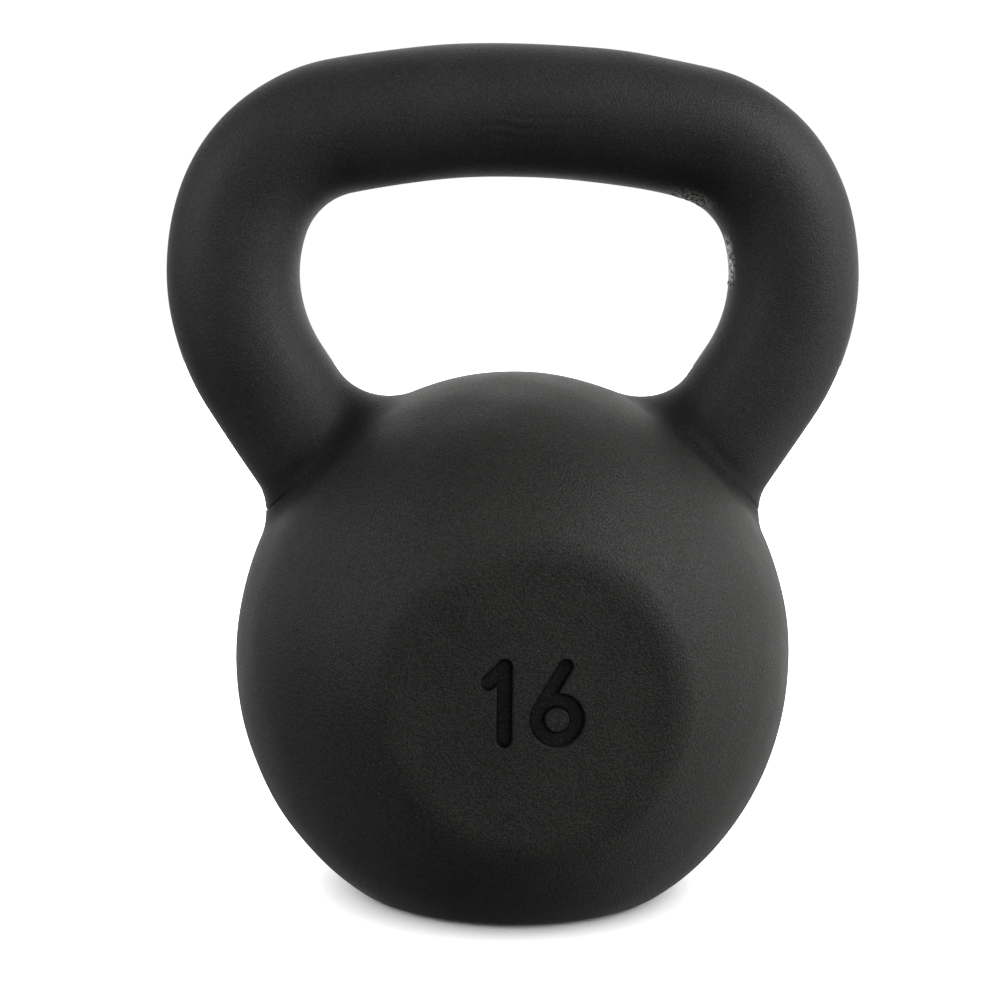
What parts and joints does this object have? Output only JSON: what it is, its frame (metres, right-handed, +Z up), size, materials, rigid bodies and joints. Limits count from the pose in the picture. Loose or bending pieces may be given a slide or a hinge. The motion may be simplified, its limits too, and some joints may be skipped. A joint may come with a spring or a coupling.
{
  "type": "kettlebell",
  "caption": "Cast-iron kettlebell: a round ball with a flat base and flat front and rear faces, under a thick bow handle whose flared feet are set into the ball. Black powder coat.",
  "frame": {"origin": "middle of the flat base, on the floor", "axes": "+X along the grip, +Y from the marked front face to the rear face, +Z up"},
  "size_m": [0.1916, 0.1354, 0.2343],
  "materials": {
    "ball_coat": "matte",
    "handle_coat": "matte",
    "ballast_iron": "matte",
    "plug_steel": "satin"
  },
  "bodies": {
    "root": {"ball": "ball_coat", "handle": "handle_coat", "ballast": "ballast_iron", "base_plug": "plug_steel"}
  },
  "joints": []
}
